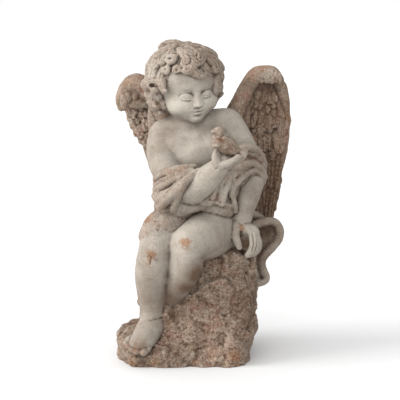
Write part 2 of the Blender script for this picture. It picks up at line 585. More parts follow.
class Wing:
    """The cupped plate of one wing: rows of height, inner edge and outer edge, and its depth."""

    def __init__(self, rows, depth, slope, cup):
        self.rows = rows
        self.depth, self.slope, self.cup = depth, slope, cup

    def place(self, s, z):
        """A place on the plate, s across from the inner edge, at this height."""
        z_in = min(max(z, self.rows[-1][0]), self.rows[0][0])
        for (z0, a0, b0), (z1, a1, b1) in zip(self.rows, self.rows[1:]):
            if z1 <= z_in <= z0:
                t = (z0 - z_in) / (z0 - z1)
                inner, outer = a0 + (a1 - a0) * t, b0 + (b1 - b0) * t
                break
        depth = self.depth + self.slope * s + self.cup * math.sin(math.pi * s)
        return Vector((inner + (outer - inner) * s, depth, z))

    def plate(self, clay, thickness=9):
        sheet(clay, [[self.place(k / 5, row[0]) for k in range(6)] for row in self.rows], thickness)

    def feathers(self, clay, top, length, width, proud, facing=-1, thickness=8, barbs=0, stagger=0.0,
                 loose=0.15, lean=3.0, rim=0.0):
        """A row of feathers hung at one height, each scored with a quill, barbs and a cut round its tip."""
        look = Vector((0, facing, 0))
        count = max(2, round((self.place(1, top) - self.place(0, top)).length / (width * 0.8)))
        for k in range(count + (stagger > 0)):
            s = min(0.94, max(0.04, (k + 0.5 - stagger + dice.uniform(-loose, loose)) / count))
            size = dice.uniform(1 - loose, 1 + loose)
            dip = dice.uniform(-loose, loose) * min(length, 40)
            root = self.place(s, top + dip) + look * (proud - 3 + dice.uniform(-4, 4) * loose)
            tip = self.place(0.04 + 0.92 * s, top + dip - length * size) + look * (proud + lean)
            tip.x += dice.uniform(-18, 18) * loose
            broad = width * dice.uniform(1 - loose, 1 + loose)
            leaf(clay, root, tip, broad, thickness)
            face = look * thickness * 0.5
            along = (tip - root).normalized()
            across = along.cross(look).normalized()
            if rim:
                edge = []
                for turn in range(-75, 80, 15):
                    a = math.radians(turn)
                    edge.append(tip - along * broad * 0.55 + across * math.sin(a) * broad * 0.52
                                + along * math.cos(a) * broad * 0.62)
                mark(edge, 1.2, -rim * dice.uniform(0.5, 1.2), look)
            if barbs:
                quill = [root.lerp(tip, q) + face * math.sqrt(1 - (2 * q - 1) ** 2)
                         for q in (0.45, 0.62, 0.8, 0.93)]
                mark(quill, 1.0, 0.5, look)
            for n in range(barbs):
                q = 0.4 + 0.55 * (n + dice.uniform(0, 0.7)) / barbs
                spot = root.lerp(tip, q) + face * math.sqrt(1 - (2 * q - 1) ** 2)
                for side in (-1, 1):
                    mark([spot + across * side * 1.5, spot + across * side * width * 0.36 + along * 4],
                         dice.uniform(0.8, 1.2), -dice.uniform(0.3, 0.9), look)


clay = []
RIGHT_EDGES = ((514, 102, 136), (490, 88, 158), (455, 72, 166), (425, 68, 168), (385, 74, 166),
               (364, 80, 160), (350, 84, 153), (316, 90, 151), (280, 96, 147), (245, 102, 137),
               (226, 108, 128))
right_wing = Wing(RIGHT_EDGES, 76, 10, 7)
right_wing.plate(clay)
roll(clay, (46, 38, 412, 21), (60, 48, 438, 18), (72, 56, 462, 16), (87, 65, 490, 15), (102, 71, 510, 15),
     (119, 74, 514, 14.5), (134, 77, 512, 13), (149, 79, 489, 11), (157, 80, 462, 9), (161, 82, 436, 6),
     (161, 84, 404, 4))
leaf(clay, (78, 64, 476), (72, 70, 380), 34, 24)
# short feathers hang in a ragged fringe from the thick rim
for k in range(8):
    x = 98 + 7 * k
    hang = 492 + 3 * math.sin(math.pi * k / 7) + dice.uniform(-3, 3)
    leaf(clay, (x - 2, 62, 524 - abs(k - 3) * 2), (x + dice.uniform(-2, 2), 60 + k, hang), 10, 9)
for k in range(5):
    leaf(clay, (76 + 5 * k, 60, 488 + 5 * k), (78 + 5 * k + dice.uniform(-2, 2), 58, 458 + 8 * k), 12, 9)
# coverts in staggered rows, two rows of longer ones, then the flight feathers
for row in range(5):
    right_wing.feathers(clay, 486 - 15 * row, 26, 15, 5.5, barbs=3, stagger=0.5 * (row % 2), loose=0.25,
                        rim=1.2)
right_wing.feathers(clay, 434, 34, 19, 6, barbs=5, loose=0.2, lean=4, rim=1.8)
right_wing.feathers(clay, 412, 50, 16, 5, barbs=6, stagger=0.5, rim=1.2)
right_wing.feathers(clay, 378, 86, 12, 5, barbs=3, lean=2, rim=1.0)
right_wing.feathers(clay, 340, 96, 11, 4, barbs=2, stagger=0.5, loose=0.2, lean=1.5)
# three broad coverts, each fanned with five cuts, down the outer edge
for x, tip, y, wide in ((153, 430, 76, 22), (152, 395, 75, 23), (147, 361, 72, 25)):
    leaf(clay, (x + 1, 86, tip + 60), (x - 1, y, tip), wide, 8)
    for k in range(5):
        fan = (k - 2) / 2
        mark([(x + 4 * fan, y + 1, tip + 30), (x - 1 + 8 * fan, y - 1, tip + 4 + 5 * fan * fan)],
             1.1, -dice.uniform(0.4, 1.0), (0, -1, 0))
# feather ends stick out of the lower edge, and the upper edge is nicked
for k in range(8):
    z = 350 - 13 * k
    x = right_wing.place(1, z - 14).x
    leaf(clay, (x - 5, 88, z), (x + dice.uniform(-5, 1), 82, z - 20), 11, 8)
for z in (498, 470, 452, 436, 410, 398, 374):
    x = right_wing.place(1, z).x
    nick = [(x + 7, 60, z + dice.uniform(-4, 4)), (x + 7, 100, z)]
    mark(nick, dice.uniform(3, 5), -dice.uniform(1.5, 3), (1, 0, 0))
BACK = {"facing": 1, "barbs": 5, "thickness": 7, "loose": 0.1, "lean": 1.5}
for top, length, width in ((508, 64, 21), (462, 76, 22), (408, 100, 23), (340, 104, 22)):
    right_wing.feathers(clay, top, length, width, 4, **BACK)

LEFT_EDGES = ((498, -100, -136), (472, -84, -148), (440, -72, -142), (405, -64, -127), (370, -56, -103),
              (340, -50, -84), (305, -46, -72))
left_wing = Wing(LEFT_EDGES, 62, 12, 6)
left_wing.plate(clay)
roll(clay, (-58, 38, 418, 17), (-70, 43, 442, 18), (-84, 48, 466, 18), (-102, 51, 487, 19),
     (-123, 54, 495, 19), (-140, 60, 482, 15.5), (-149, 66, 464, 12), (-150, 70, 450, 8))
leaf(clay, (-84, 50, 474), (-76, 60, 372), 40, 20)
ball(clay, (-116, 58, 464), (28, 9, 16))
for x, z, r in ((-98, 474, 10), (-110, 477, 11), (-123, 477, 12), (-136, 470, 12), (-145, 458, 11)):
    leaf(clay, (x, 46, z + 18), (x + dice.uniform(-3, 3), 48, z - r), 15, 10)
for row in range(7):
    left_wing.feathers(clay, 466 - 14 * row, 25, 14, 6.5, barbs=3, stagger=0.5 * (row % 2), loose=0.18,
                       lean=2.5, rim=0.9)
left_wing.feathers(clay, 366, 46, 13, 5, barbs=5)
for k in range(5):
    z = 446 - 14 * k
    x = left_wing.place(1, z - 14).x
    leaf(clay, (x + 4, 74, z), (x + dice.uniform(0, 4), 68, z - 24), 12, 8)
for top, length, width in ((490, 60, 20), (446, 74, 21), (390, 92, 20)):
    left_wing.feathers(clay, top, length, width, 4, **BACK)
wings = press_together(clay, FINE_GRAIN, 2)

# ---------------------------------------------------------------- the cloth
# One loose cloth lies over the lap and the forward thigh, is caught in rolls round the bent
# elbow, hangs over the other arm like a sleeve and trails down behind the rock. It is clay
# carved into folds, not cloth, so it is part of the cast.
clay = []
# over the lap and the thigh, with a thin rolled hem
roll(clay, (-14, 12, 236, 50), (-50, -40, 240, 46), (-70, -72, 240, 38), (-81, -88, 233, 31.5))
ball(clay, (14, 24, 258), (72, 60, 50))
ball(clay, (-46, -50, 282), (40, 40, 28))
ball(clay, (22, -36, 280), (44, 34, 30))
roll(clay, (-76, -50, 268, 9), (-64, -70, 272, 10), (-44, -76, 274, 11), (-24, -72, 280, 11),
     (0, -68, 284, 9))
roll(clay, (-38, -84, 295, 4), (-14, -87, 297, 4.5), (10, -82, 296, 4.5), (36, -71, 290, 4.5),
     (54, -57, 280, 4.5))

# the rolls round the elbow, fanning out from the crook of the arm
ball(clay, (-54, -58, 322), (32, 30, 28))
ball(clay, (-58, -80, 294), (18, 16, 12))
roll(clay, (-74, -30, 338, 8), (-80, -56, 331, 8), (-62, -81, 345, 8.5), (-39, -89, 353, 7.5),
     (-12, -85, 357, 5))
roll(clay, (-76, -34, 326, 7), (-80, -60, 323, 7), (-62, -85, 336, 7), (-40, -93, 345, 6.5),
     (-16, -95, 351, 5))
roll(clay, (-78, -46, 314, 7), (-80, -68, 314, 7.5), (-64, -89, 325, 8), (-44, -98, 336, 7),
     (-20, -100, 346, 4.5))
roll(clay, (-79, -54, 304, 9), (-78, -74, 302, 11), (-69, -94, 303, 12), (-54, -104, 313, 9.5),
     (-42, -107, 327, 6.5), (-26, -105, 338, 4))
roll(clay, (-4, -96, 352, 5), (-20, -108, 341, 7), (-35, -113, 327, 8.5), (-47, -113, 314, 9),
     (-62, -106, 300, 9), (-70, -94, 288, 8))
roll(clay, (-28, -110, 328, 5), (-38, -113, 314, 6.5), (-45, -107, 297, 7), (-50, -94, 282, 7))
mark([(-94, -82, 309), (-86, -88, 310)], 3.6, -7)
mark([(-104, -86, 238), (-92, -104, 246), (-74, -114, 255), (-54, -112, 262)], 3, 2.2)
mark([(-104, -88, 232), (-92, -106, 240), (-74, -116, 249), (-56, -116, 256)], 2.4, -1.6)
mark([(-84, -94, 303), (-66, -104, 311), (-48, -110, 324)], 1.8, -1.8)
mark([(-28, -112, 338), (-44, -118, 322), (-58, -112, 304)], 1.9, -2.3)
mark([(-86, -66, 327), (-64, -89, 341), (-38, -96, 349)], 1.9, -2.3)
mark([(-86, -70, 318), (-66, -92, 330), (-42, -99, 341)], 1.9, -2.3)
mark([(-80, -60, 344), (-60, -86, 352), (-36, -94, 358)], 1.4, -0.9)
mark([(-82, -86, 309), (-62, -99, 319), (-46, -105, 331)], 1.9, -2.3)
mark([(-96, -82, 254), (-80, -100, 262), (-60, -106, 266)], 2.4, -1.2)
mark([(-92, -84, 264), (-74, -98, 268), (-56, -100, 270)], 2.0, -1.0)

# the sleeve over the other arm, open to the front, with its rim turned in
rows = [((60, -52, 384), (70, -44, 391), (84, -32, 392), (96, -24, 390), (105, -12, 382), (112, 0, 368)),
        ((62, -60, 374), (72, -56, 384), (86, -46, 386), (99, -34, 381), (110, -20, 368), (117, -4, 350)),
        ((61, -60, 360), (72, -52, 370), (86, -43, 371), (98, -33, 366), (109, -20, 354), (117, -8, 338)),
        ((59, -64, 345), (69, -63, 353), (82, -57, 358), (95, -47, 357), (108, -32, 346), (117, -13, 330)),
        ((54, -64, 314), (64, -62, 326), (77, -54, 337), (92, -45, 347), (104, -34, 343), (113, -18, 324)),
        ((56, -52, 312), (66, -48, 322), (78, -42, 332), (92, -34, 340), (102, -24, 336), (110, -8, 318))]
sheet(clay, rows, 8)
roll(clay, (54, -64, 302, 5), (58, -65, 316, 5.5), (70, -61, 331, 5.5), (84, -52, 342, 5.5),
     (97, -41, 347, 5.5), (109, -26, 336, 5.5), (114, -12, 320, 5.5))
roll(clay, (60, -64, 346, 4), (70, -63, 354, 5.5), (82, -58, 359, 6), (95, -48, 358, 6),
     (108, -33, 347, 5.5), (117, -14, 330, 5))
roll(clay, (62, -60, 375, 4), (72, -57, 385, 5.5), (86, -47, 387, 6), (99, -35, 382, 6),
     (110, -21, 369, 5.5), (117, -5, 350, 5))
ball(clay, (90, 4, 358), (28, 26, 26), (0, 45, 0))
ball(clay, (108, 4, 344), (12, 14, 24))

# under the raised arm the cloth falls in two or three deep folds to the lap
rows = [((-8, -90, 306), (12, -96, 322), (34, -98, 344), (54, -78, 356)),
        ((-6, -88, 298), (14, -88, 310), (34, -90, 326), (51, -80, 336)),
        ((-4, -86, 292), (14, -82, 298), (32, -84, 308), (46, -82, 316)),
        ((-2, -84, 286), (14, -80, 288), (30, -78, 290), (40, -76, 290))]
sheet(clay, rows, 10)
roll(clay, (55, -74, 356, 5), (52, -79, 342, 6), (47, -84, 326, 6.5), (40, -85, 308, 7),
     (36, -80, 290, 6.5))
roll(clay, (52, -62, 316, 4.5), (56, -62, 302, 4.5), (60, -59, 286, 5), (62, -52, 272, 5))
roll(clay, (26, -88, 322, 4), (22, -87, 306, 5.5), (14, -83, 290, 6))
ball(clay, (42, -26, 316), (30, 34, 46))
ball(clay, (62, -22, 340), (28, 28, 34))
mark([(66, -62, 364), (82, -54, 372), (98, -42, 368), (110, -27, 357)], 3, -2.2)
mark([(62, -66, 334), (76, -60, 346), (92, -50, 351), (106, -36, 343)], 2.2, -1.4)
mark([(58, -66, 348), (54, -70, 334), (51, -72, 320)], 3.4, -4, (0, -1, 0))
mark([(33, -92, 330), (30, -90, 314), (27, -86, 298)], 3, -2, (0, -1, 0))
mark([(-20, -96, 300), (10, -92, 299), (34, -86, 292)], 2.2, -2.0)

# the tail that leaves the lap behind the hand and runs down the rock in one long curl
rows = [((80, 20, 244), (108, 40, 246), (130, 46, 242), (142, 38, 230)),
        ((80, 20, 226), (104, 42, 224), (126, 46, 222), (146, 36, 216)),
        ((80, 20, 200), (100, 40, 198), (118, 42, 196), (134, 34, 194)),
        ((80, 20, 172), (98, 34, 172), (108, 38, 170), (116, 32, 170)),
        ((80, 20, 132), (98, 34, 132), (110, 36, 132), (120, 34, 132))]
sheet(clay, rows, 14)
roll(clay, (86, 0, 232, 8), (98, 8, 237, 8), (114, 16, 241, 8), (132, 23, 242, 8), (143, 27, 233, 8),
     (147, 30, 219, 8), (143, 30, 205, 8), (132, 28, 192, 8), (120, 26, 179, 8), (113, 26, 165, 7.5),
     (116, 28, 149, 7.5), (122, 30, 136, 7.5), (117, 28, 127, 7), (100, 24, 124, 7))
roll(clay, (84, 14, 258, 9), (98, 26, 254, 8), (112, 32, 246, 7))
roll(clay, (100, 36, 214, 7), (106, 34, 190, 7), (102, 30, 160, 6), (104, 30, 134, 6))
ball(clay, (92, 34, 196), (14, 30, 62))
ball(clay, (14, 52, 232), (84, 40, 54))

# behind, it spreads over the back of the seat in shallow folds
rows = []
for n, (z, spread, back) in enumerate(((296, 0.5, 52), (266, 0.74, 76), (232, 0.86, 88), (200, 0.92, 94),
                                       (176, 0.9, 96), (164, 0.84, 90))):
    row = []
    for k in range(15):
        side = k / 7 - 1
        fold = math.cos(12.5 * side + 1.2 * math.sin(n))
        droop = 12 * side ** 2 + 6 * math.sin(5 * side)
        row.append((10 + 92 * spread * side, back - 30 * side ** 4 + 3.2 * fold * min(1, n / 2),
                    z + droop * n / 5))
    rows.append(row)
sheet(clay, rows, 13)
CLOTH_GRAIN = 1.6
cloth = press_together(clay, CLOTH_GRAIN, 5)

# ---------------------------------------------------------------- the casting
# Every part above is one piece of clay in the end, cast in a mould from the finished model. The
# face and the tool marks are worked here, the surface is weathered, and the foot is ground flat.
lumps = {"flesh": flesh, "fingers_and_toes": fingers_and_toes, "hair": press_together(hair, FINE_GRAIN, 1),
         "bird": bird, "wings": wings, "cloth": cloth, "rock": rock}
cast = press_together([take(mesh) for mesh in lumps.values()], GRAIN, 1)


def spots_of(mesh):
    spots = np.empty(len(mesh.vertices) * 3)
    mesh.vertices.foreach_get("co", spots)
    return spots.reshape(-1, 3)


def outward_of(mesh):
    outward = np.empty(len(mesh.vertices) * 3)
    mesh.vertices.foreach_get("normal", outward)
    return outward.reshape(-1, 3)


def shift(mesh, push, way=None):
    """Move every point of the skin by its own push, straight out or all one way."""
    way = outward_of(mesh) if way is None else way
    spots = spots_of(mesh) + way * push[:, None]
    mesh.vertices.foreach_set("co", spots.ravel())
    mesh.update()


def strokes(mesh, marks):
    """How far these tool marks move each point of the skin."""
    spots = spots_of(mesh)
    outward = outward_of(mesh)
    push = np.zeros(len(spots))
    by_height = np.argsort(spots[:, 2])
    heights = spots[by_height, 2]
    for path, width, height, way in marks:
        path = np.array([list(p) for p in path])
        reach = width * 2.6
        first, last = np.searchsorted(heights, (path[:, 2].min() - reach, path[:, 2].max() + reach))
        near = by_height[first:last]
        for axis in (0, 1):
            side = spots[near, axis]
            near = near[(side > path[:, axis].min() - reach) & (side < path[:, axis].max() + reach)]
        here = spots[near]
        gap = np.full(len(near), 1e9)
        for a, b in zip(path, path[1:]):
            step = b - a
            t = np.clip((here - a) @ step / (step @ step), 0, 1)
            gap = np.minimum(gap, ((here - a - t[:, None] * step) ** 2).sum(1))
        strength = np.exp(-gap / (width * width)) * height
        if way is not None:
            strength *= np.clip(outward[near] @ np.array(way) * 2, 0, 1)
        push[near] += strength
    return push


home = np.array(head.inverted())
seen_by_head = spots_of(cast) @ home[:3, :3].T + home[:3, 3]
ahead = np.array(head)[:3, :3] @ (0.0, -1.0, 0.0)
faced = np.clip(outward_of(cast) @ ahead * 2.5, 0, 1) * (np.abs(seen_by_head[:, 1] + 50) < 30)
faced *= (np.abs(seen_by_head[:, 0]) < 42) * (seen_by_head[:, 2] > -66) * (seen_by_head[:, 2] < 40)
shift(cast, face_form(seen_by_head[:, 0], seen_by_head[:, 2]) * faced, ahead)
shift(cast, strokes(cast, [m for m in tool_marks if m[2] > 0]))
shift(cast, strokes(cast, [m for m in tool_marks if m[2] < 0]))

names = list(lumps)
felt_lumps = [BVHTree.FromPolygons([v.co for v in lump.vertices], [p.vertices for p in lump.polygons])
              for lump in lumps.values()]


def lump_of(mesh):
    """Which lump of clay each point of the skin belongs to."""
    owner = np.zeros(len(mesh.vertices), int)
    for k, v in enumerate(mesh.vertices):
        nearest = 8.0
        for n, tree in enumerate(felt_lumps):
            gap = tree.find_nearest(v.co, nearest)[3]
            if gap is not None and gap < nearest:
                nearest = gap
                owner[k] = n
    return owner


# How uneven each lump is left, how pitted and how much lime wash it has kept. The flesh is nearly
# smooth and white, the hair and the wings are rough, and the rock is roughest and nearly bare.
#                          uneven pitted washed
SURFACE = {
    "flesh":                (0.3, 0.12, 1.0),
    "fingers_and_toes":     (0.5, 0.4, 0.8),
    "hair":                 (1.4, 0.9, 0.52),
    "bird":                 (1.6, 1.3, 0.45),
    "wings":                (1.3, 0.7, 0.1),
    "cloth":                (1.1, 0.7, 0.55),
    "rock":                 (1.8, 0.5, 0.18),
}
# sizes in millimetres of the swells, the grit and the pits, and of the patches where pits lie
SWELL, GRIT, PIT, PIT_PATCH = 14, 4, 5.5, 24
owner = lump_of(cast)
push = np.zeros(len(cast.vertices))
for k, v in enumerate(cast.vertices):
    uneven, pitted, _ = SURFACE[names[owner[k]]]
    push[k] = noise.fractal(v.co / SWELL + ROUGH_SEED, 0.35, 2.3, 3) * uneven * 0.6
    push[k] += noise.fractal(v.co / GRIT - ROUGH_SEED, 0.6, 2.1, 2) * uneven * 0.26
    gap = noise.voronoi(v.co / PIT + ROUGH_SEED)[0][0]
    patch = max(0.0, noise.noise(v.co / PIT_PATCH - ROUGH_SEED) + 0.15)
    push[k] -= max(0.0, 0.3 - gap) * 5 * pitted * patch
shift(cast, push)


def evened(mesh, values, rounds):
    """The values averaged with their neighbours a number of times."""
    ties = np.empty(len(mesh.edges) * 2, int)
    mesh.edges.foreach_get("vertices", ties)
    ties = ties.reshape(-1, 2)
    tie_count = np.bincount(ties.ravel(), minlength=len(values)).astype(float)
    values = values.copy()
    for _ in range(rounds):
        for k in range(values.shape[1]):
            total = np.bincount(ties[:, 0], values[ties[:, 1], k], len(values))
            total += np.bincount(ties[:, 1], values[ties[:, 0], k], len(values))
            values[:, k] = 0.4 * values[:, k] + 0.6 * total / tie_count
    return values


# How deep each spot lies below the clay close round it, and below the form further round it.
spots = spots_of(cast)
near_form = evened(cast, spots, 5)
wide_form = evened(cast, near_form, 45)
fine = ((near_form - spots) * outward_of(cast)).sum(1)
deep = ((wide_form - near_form) * outward_of(cast)).sum(1)
whole_spots = kdtree.KDTree(len(spots))
for k, v in enumerate(cast.vertices):
    whole_spots.insert(v.co, k)
whole_spots.balance()

# Crumbs that hang free inside are left out: only the largest connected skin stays.
shaper = bmesh.new()
shaper.from_mesh(cast)
left = set(shaper.verts)
bodies = []
while left:
    body = [left.pop()]
    edge = list(body)
    while edge:
        for e in edge.pop().link_edges:
            for v in e.verts:
                if v in left:
                    left.discard(v)
                    body.append(v)
                    edge.append(v)
    bodies.append(body)
bodies.sort(key=len)
bmesh.ops.delete(shaper, geom=[v for body in bodies[:-1] for v in body], context="VERTS")
shaper.to_mesh(cast)

# The skin is thinned out where it is plain, and the foot is ground flat.
MOST_TRIANGLES = 196000
facets = sum(len(p.vertices) - 2 for p in cast.polygons)
whole = put("whole", cast)
thin = whole.modifiers.new("thin", "DECIMATE")
thin.ratio = min(1.0, MOST_TRIANGLES / facets)
thin.use_collapse_triangulate = True
lean = bpy.data.meshes.new_from_object(evaluated(whole))
bpy.data.objects.remove(whole)
shaper.clear()
shaper.from_mesh(lean)
cut = bmesh.ops.bisect_plane(shaper, geom=shaper.verts[:] + shaper.edges[:] + shaper.faces[:], dist=0.01,
                             plane_co=(0, 0, 0), plane_no=(0, 0, 1), clear_inner=True)
foot = [g for g in cut["geom_cut"] if isinstance(g, bmesh.types.BMEdge)]
for face in bmesh.ops.triangle_fill(shaper, edges=foot, use_beauty=True)["geom"]:
    if isinstance(face, bmesh.types.BMFace):
        face.normal_update()
        if face.normal.z > 0:
            face.normal_flip()
statue_mesh = bpy.data.meshes.new("angel_statue_cast")
shaper.to_mesh(statue_mesh)
skin = BVHTree.FromBMesh(shaper)
shaper.free()
for p in statue_mesh.polygons:
    p.use_smooth = True


def store(name, values):
    """Keep one value for each point, for the finish to read."""
    layer = statue_mesh.attributes.new(name, "FLOAT", "POINT")
    layer.data.foreach_set("value", np.asarray(values, np.float32))


wash = np.array([[SURFACE[names[k]][2]] for k in lump_of(statue_mesh)])
from_whole = [whole_spots.find(v.co)[1] for v in statue_mesh.vertices]
store("wash", evened(statue_mesh, wash, 4)[:, 0])
store("hollow", np.clip(0.5 + fine[from_whole] * 0.8, 0, 1))
store("dip", np.clip(0.5 + deep[from_whole] * 0.18, 0, 1))

# How far each spot is closed in by what stands round it: dirt gathers there.
LOOKS, SIGHT = 40, 50       # directions looked in from each spot, and how far in millimetres
looks = []
for k in range(LOOKS):
    up = k / (LOOKS / 2) - 0.975
    flat = math.sqrt(1 - up ** 2)
    looks.append(Vector((math.cos(2.4 * k) * flat, math.sin(2.4 * k) * flat, up)))
shut_in = np.zeros((len(statue_mesh.vertices), 1))
for k, v in enumerate(statue_mesh.vertices):
    start = v.co + v.normal * 1.2
    total = met = 0.0
    for look in looks:
        lean_out = look.dot(v.normal)
        if lean_out > 0.25:
            total += lean_out
            gap = skin.ray_cast(start, look, SIGHT)[3]
            if gap is not None:
                met += lean_out * (1 - gap / SIGHT)
    shut_in[k] = met / total
store("shut_in", evened(statue_mesh, shut_in, 3)[:, 0])


def blots(places):
    """Round patches at these places: x, y, z, reach in millimetres and strength."""
    here = spots_of(statue_mesh)
    patch = np.zeros(len(here))
    for x, y, z, reach, strength in places:
        gap = ((here - (x, y, z)) ** 2).sum(1)
        patch = np.maximum(patch, strength * np.exp(-gap / reach ** 2))
    return patch


# Where knocks and rubbing have bared the orange clay: knees, wrist, rims, folds and corners.
store("bared", blots((
    (-28, -137, 229, 12, 0.9), (-88, -127, 205, 11, 0.9), (-94, -123, 191, 9, 0.7),
    (-76, -118, 190, 8, 0.5), (73, -57, 243, 8, 0.9), (32, -120, 407, 9, 0.8), (48, -112, 392, 14, 0.6),
    (62, -108, 386, 12, 0.6), (-121, -118, 8, 15, 0.7), (-84, -122, 8, 18, 0.6),
    (-12, -118, 10, 14, 0.6), (60, -112, 18, 15, 0.9), (-98, -85, 262, 15, 0.8),
    (-102, -72, 248, 15, 0.7), (-83, -92, 282, 12, 0.6), (-64, -100, 289, 12, 0.6),
    (163, 76, 432, 11, 0.8), (160, 76, 396, 10, 0.6), (148, 70, 366, 14, 0.6), (112, 70, 526, 22, 0.6),
    (92, 58, 508, 14, 0.6), (142, 80, 316, 12, 0.7), (146, 84, 296, 9, 0.6), (-53, -45, 542, 14, 0.7),
    (-112, -130, 36, 20, 0.7), (-128, -124, 40, 12, 0.7), (-58, -88, 350, 20, 0.5),
    (-36, -94, 352, 16, 0.5), (-80, -50, 346, 12, 0.5), (-126, 50, 429, 24, 0.4),
    (-104, 50, 400, 26, 0.5), (-4, -100, 110, 26, 0.35), (61, -76, 166, 24, 0.35),
    (-30, -115, 40, 22, 0.35), (20, -40, 556, 22, 0.5), (22, -36, 524, 26, 0.45), (97, -42, 368, 8, 0.6),
    (-12, -60, 478, 7, 0.3), (30, -105, 60, 26, 0.3), (64, -90, 96, 20, 0.35), (-140, 40, 500, 14, 0.5),
    (-88, -112, 150, 10, 0.35))))
# Where dirt has darkened the wash: the legs and the foot, the bird's side, under the cloth and
# wherever the surface faces down.
facing_down = np.clip(0.1 - outward_of(statue_mesh)[:, 2], 0, 1)
store("soiled", 0.35 * facing_down + blots((
    (-88, -110, 120, 40, 0.5), (-86, -100, 84, 34, 0.25), (-108, -112, 52, 34, 0.4),
    (-54, -84, 124, 36, 1.1), (-60, -66, 92, 40, 1.2), (-66, -100, 160, 18, 0.6),
    (50, -104, 402, 22, 0.9), (40, -34, 410, 26, 0.55), (96, -30, 300, 26, 0.6), (82, -44, 270, 20, 0.5),
    (30, -92, 222, 30, 0.5), (8, -110, 186, 26, 0.5), (-40, -40, 372, 16, 0.6), (-58, -40, 392, 16, 0.5),
    (128, 82, 330, 44, 1.6), (124, 84, 276, 44, 1.9), (112, 84, 440, 44, 1.0), (120, 84, 480, 24, 0.8),
    (158, 80, 450, 26, 0.7), (90, -46, 366, 24, 0.4), (-66, -16, 404, 34, 0.6), (-92, -20, 350, 24, 0.5),
    (-88, -34, 390, 28, 0.55), (-10, -92, 184, 26, 0.7), (-8, -122, 170, 22, 1.6),
    (2, -114, 190, 18, 1.0), (-26, -110, 146, 22, 1.3), (60, 46, 430, 28, 0.5), (-56, -92, 326, 28, 0.3),
    (36, -70, 226, 26, 0.6), (118, 30, 224, 26, 1.4), (104, 30, 178, 26, 1.2), (80, -54, 214, 12, 1.9),
    (80, -60, 96, 44, 1.15), (24, -96, 100, 46, 0.45), (74, -50, 128, 26, 0.8), (0, -110, 50, 40, 0.5),
    (-50, -116, 20, 40, 0.4), (70, -70, 60, 36, 0.5), (-30, -30, 560, 44, 0.4), (16, -34, 536, 34, 0.6),
    (-90, -126, 176, 16, 0.35), (-92, -130, 160, 9, 0.7), (-10, -60, 340, 30, 0.35),
    (-118, -132, 36, 22, 0.8))))
# Where the wash is thick and has stayed clean: the face, the upper sides and the left wing.
store("kept", blots((
    (-38, -56, 466, 24, 1.0), (8, -54, 464, 24, 0.9), (-14, -66, 450, 20, 0.8), (-12, -66, 486, 22, 0.4),
    (-116, 56, 430, 54, 0.6), (122, 60, 512, 22, 0.9), (-76, -30, 520, 30, 0.6),
    (-48, -46, 548, 24, 0.45), (-26, -120, 236, 24, 0.4), (-30, -44, 388, 34, 0.3),
    (10, -100, 330, 32, 0.25), (5, -100, 255, 40, 0.15), (52, 0, 440, 28, 0.3), (95, -60, 235, 22, 0.3),
    (38, -78, 318, 24, 0.6), (-40, -85, 289, 16, 0.5), (16, -70, 236, 30, 0.3),
    (-20, -84, 290, 30, 0.35), (150, 70, 480, 18, 0.2))))

mid = (spots_of(statue_mesh).min(0) + spots_of(statue_mesh).max(0)) / 2
tall = spots_of(statue_mesh)[:, 2].max()
for v in statue_mesh.vertices:
    v.co = ((v.co.x - mid[0]) * MM + (low[0] + high[0]) / 2, (v.co.y - mid[1]) * MM + (low[1] + high[1]) / 2,
            v.co.z * MM * TALL / tall + low[2])
statue = put("angel_statue_cast", statue_mesh)
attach(statue, "root")
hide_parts("angel_statue")

# ---------------------------------------------------------------- the finish
# Coarse terracotta clay, cast and left rough, then brushed with a thin lime wash that has worn
# off in patches and gathered dirt in its hollows. To the eye it is dead matt: its grain scatters
# the light, so no highlight shows even where the wash is thick.


def hexcolour(code):
    """An sRGB hex colour as linear values."""
    shares = [int(code[i:i + 2], 16) / 255 for i in (0, 2, 4)]
    return tuple(c / 12.92 if c < 0.04045 else ((c + 0.055) / 1.055) ** 2.4 for c in shares) + (1.0,)


limed = bpy.data.materials.new("lime_washed_terracotta_cast")
limed.use_nodes = True
tree = limed.node_tree
tree.nodes.clear()


def add(kind, settings=None, links=None):
    """A node with its settings and its links; a link may also be a plain value."""
    node = tree.nodes.new(kind)
    for key, value in (settings or {}).items():
        setattr(node, key, value)
    for key, source in (links or {}).items():
        if isinstance(source, bpy.types.NodeSocket):
            tree.links.new(source, node.inputs[key])
        else:
            node.inputs[key].default_value = source
    return node


def thickness_of(strength, masks):
    """How thick a coat lies: its strength where every mask, stretched between its two ends, is full."""
    thick = strength
    for value, empty, full in masks:
        ends = {"Value": value, "From Min": empty, "From Max": full}
        mask = add("ShaderNodeMapRange", None, ends).outputs[0]
        thick = add("ShaderNodeMath", {"operation": "MULTIPLY"}, {0: mask, 1: thick}).outputs[0]
    return thick


def heaped(value, *shares):
    """A value with shares of other masks added to it, or taken off: share, mask, its two ends."""
    for share, *mask in shares:
        part = thickness_of(share, [mask])
        value = add("ShaderNodeMath", {"operation": "ADD"}, {0: value, 1: part}).outputs[0]
    return value


def coat(under, over, strength, *masks):
    """One colour laid over another, as thick as its strength and masks say."""
    links = {0: thickness_of(strength, masks), 6: under, 7: over}
    return add("ShaderNodeMix", {"data_type": "RGBA"}, links).outputs[2]


# what the casting stored at each point
stored = {}
for name in ("wash", "hollow", "dip", "shut_in", "bared", "soiled", "kept"):
    stored[name] = add("ShaderNodeAttribute", {"attribute_name": name}).outputs["Fac"]

